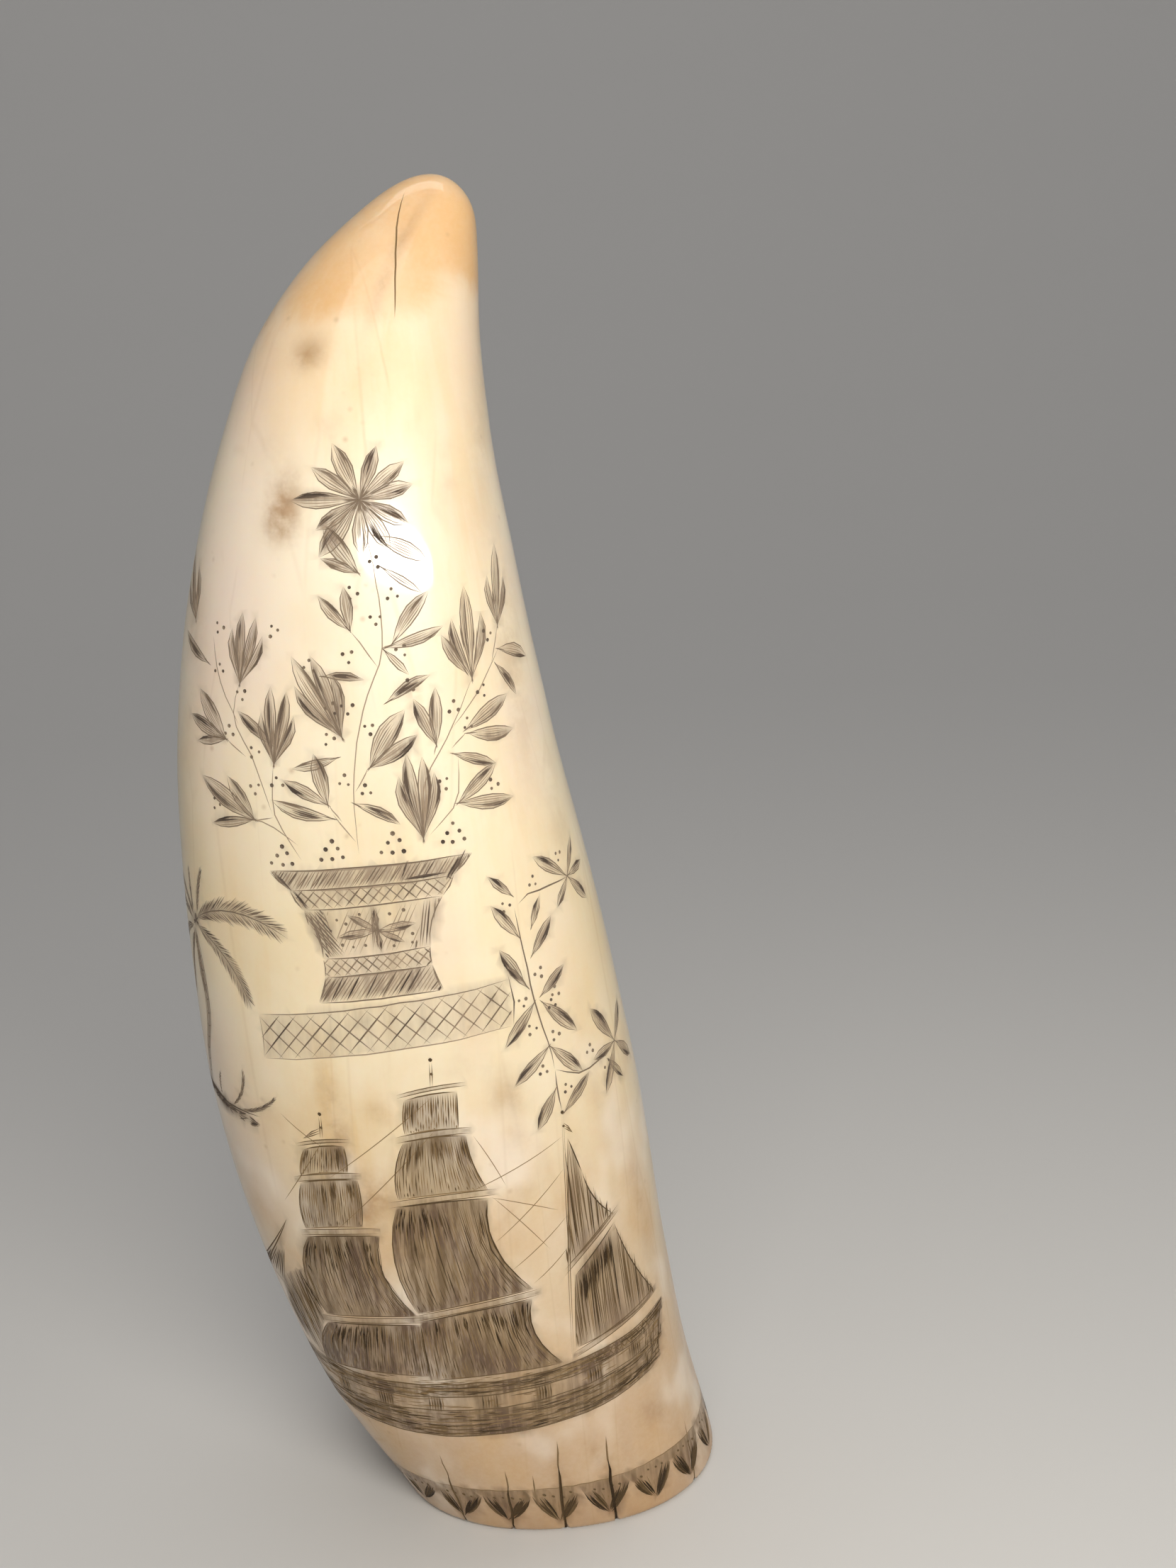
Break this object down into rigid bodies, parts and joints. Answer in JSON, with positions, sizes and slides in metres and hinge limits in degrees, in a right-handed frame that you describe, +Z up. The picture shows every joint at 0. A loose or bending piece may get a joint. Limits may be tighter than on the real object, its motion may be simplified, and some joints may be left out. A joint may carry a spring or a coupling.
{
  "type": "scrimshaw whale tooth",
  "caption": "Polished whale tooth standing on its sawn base, tip hooked to one side, with an engraved and inked picture of an urn of flowers over a sailing ship.",
  "frame": {"origin": "middle of the bounding box, on the plane of the sawn base that the tooth stands on", "axes": "+Z up along the tooth, the engraved face looks to -Y, the tip hooks to +X and the belly bows to -X"},
  "size_m": [0.062, 0.0422, 0.165],
  "materials": {
    "engraved_ivory": "polished aged ivory, cream with yellow and orange-brown stain, engraved lines rubbed with black-brown ink"
  },
  "bodies": {
    "root": {"whale_tooth": "engraved_ivory"}
  },
  "joints": []
}
